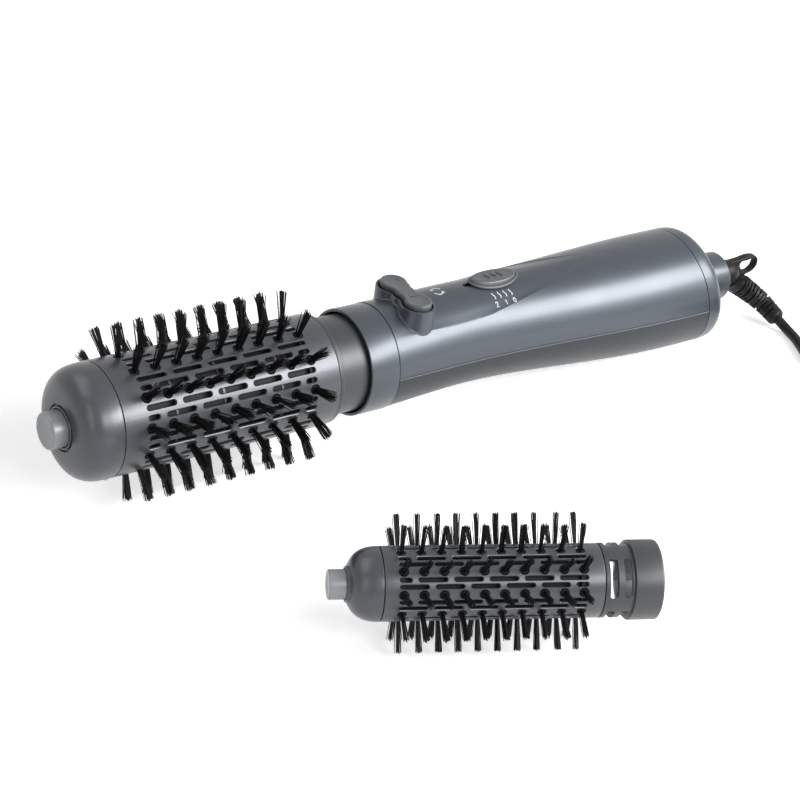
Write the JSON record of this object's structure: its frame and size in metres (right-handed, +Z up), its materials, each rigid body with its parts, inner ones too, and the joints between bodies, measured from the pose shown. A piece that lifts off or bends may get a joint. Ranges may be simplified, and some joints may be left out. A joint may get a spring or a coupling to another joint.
{
  "type": "hot air styler",
  "caption": "Hot air styler with a round brush fitted, a loose smaller brush beside it and its cord coiled: slide switch, rotation rocker, swivel hanging loop.",
  "frame": {"origin": "on the floor plane, under the middle of the styler and the loose brush together, the cord not counted", "axes": "+X from the fitted brush's tip to the cord end of the styler, +Z up; the loose brush lies on the -Y side"},
  "size_m": [0.5198, 0.2345, 0.0788],
  "materials": {
    "steel": "satin",
    "graphite": "satin metallic",
    "charcoal": "satin",
    "satin_grey": "satin ceramic coat",
    "black_plastic": "matte",
    "dark_grey": "satin",
    "brass": "machined",
    "mica": "matte",
    "board": "satin"
  },
  "bodies": {
    "handle": {"front_collar": "satin_grey", "spindle_bush": "brass", "upper_shell": "graphite", "lower_shell": "charcoal", "rear_cap": "graphite", "rocker_pod": "graphite", "rocker_switch": "black_plastic", "slide_switch_body": "black_plastic", "circuit_board": "board", "gear_motor": "steel", "heat_shield_duct": "mica", "heater_board_cross": "mica", "heater_coil": "steel", "thermostat": "steel", "fan_housing": "black_plastic", "fan_motor": "steel", "strain_relief": "black_plastic", "cord_free": "black_plastic", "cord_coil": "black_plastic", "cord_tail": "black_plastic", "mains_plug": "black_plastic"},
    "drive": {"drive_spindle": "dark_grey", "ring_gear": "black_plastic"},
    "fitted_brush": {"large_barrel": "satin_grey", "large_bristles": "black_plastic", "large_nose_cap": "satin_grey", "large_coupling_neck": "dark_grey"},
    "fitted_button": {"large_release_button": "satin_grey"},
    "pinion": {"brush_pinion": "brass"},
    "rocker": {"rotation_rocker": "dark_grey"},
    "switch_pad": {"slide_switch_pad": "dark_grey"},
    "fan": {"fan_rotor": "black_plastic"},
    "swivel": {"swivel_hub": "black_plastic", "swivel_clip": "steel"},
    "spare_brush": {"small_barrel": "satin_grey", "small_bristles": "black_plastic", "small_nose_cap": "satin_grey", "small_coupling_sleeve": "dark_grey"},
    "spare_button": {"small_release_button": "satin_grey"}
  },
  "joints": [
    {"name": "brush_spin", "type": "hinge", "parent": "handle", "child": "drive", "pos_m": [-0.05293, 0.0796, 0.03637], "axis": [0.9991, 0, -0.0413], "continuous": true},
    {"name": "brush_pull_off", "type": "slide", "parent": "drive", "child": "fitted_brush", "axis": [-0.9991, 0, 0.0413], "range_m": [0, 0.03]},
    {"name": "fitted_button_press", "type": "slide", "parent": "fitted_brush", "child": "fitted_button", "axis": [0.9991, 0, -0.0413], "range_m": [0, 0.003], "stiffness_N_per_m": 400},
    {"name": "motor_pinion_spin", "type": "hinge", "parent": "handle", "child": "pinion", "pos_m": [-0.03382, 0.0796, 0.02407], "axis": [0.9991, 0, -0.0413], "continuous": true},
    {"name": "rotation_rocker_tilt", "type": "hinge", "parent": "handle", "child": "rocker", "pos_m": [-0.0238, 0.0796, 0.06309], "axis": [0.9991, 0, -0.0413], "range_deg": [-6, 6], "stiffness_Nm_per_rad": 0.2},
    {"name": "speed_switch_slide", "type": "slide", "parent": "handle", "child": "switch_pad", "axis": [-0.9991, 0, 0.0413], "range_m": [0, 0.009]},
    {"name": "fan_spin", "type": "hinge", "parent": "handle", "child": "fan", "pos_m": [0.08995, 0.0796, 0.03047], "axis": [0.9991, 0, -0.0413], "continuous": true},
    {"name": "cord_swivel_turn", "type": "hinge", "parent": "handle", "child": "swivel", "pos_m": [0.16948, 0.0796, 0.02718], "axis": [0.9991, 0, -0.0413], "range_deg": [-75, 75]},
    {"name": "spare_brush_lift", "type": "slide", "parent": "handle", "child": "spare_brush", "axis": [0, 0, 1], "range_m": [0, 0.1]},
    {"name": "spare_button_press", "type": "slide", "parent": "spare_brush", "child": "spare_button", "axis": [0.8996, -0.4368, 0], "range_m": [0, 0.003], "stiffness_N_per_m": 400}
  ],
  "couplings": [
    {"joint": "motor_pinion_spin", "follows": "brush_spin", "ratio": 3.875}
  ]
}
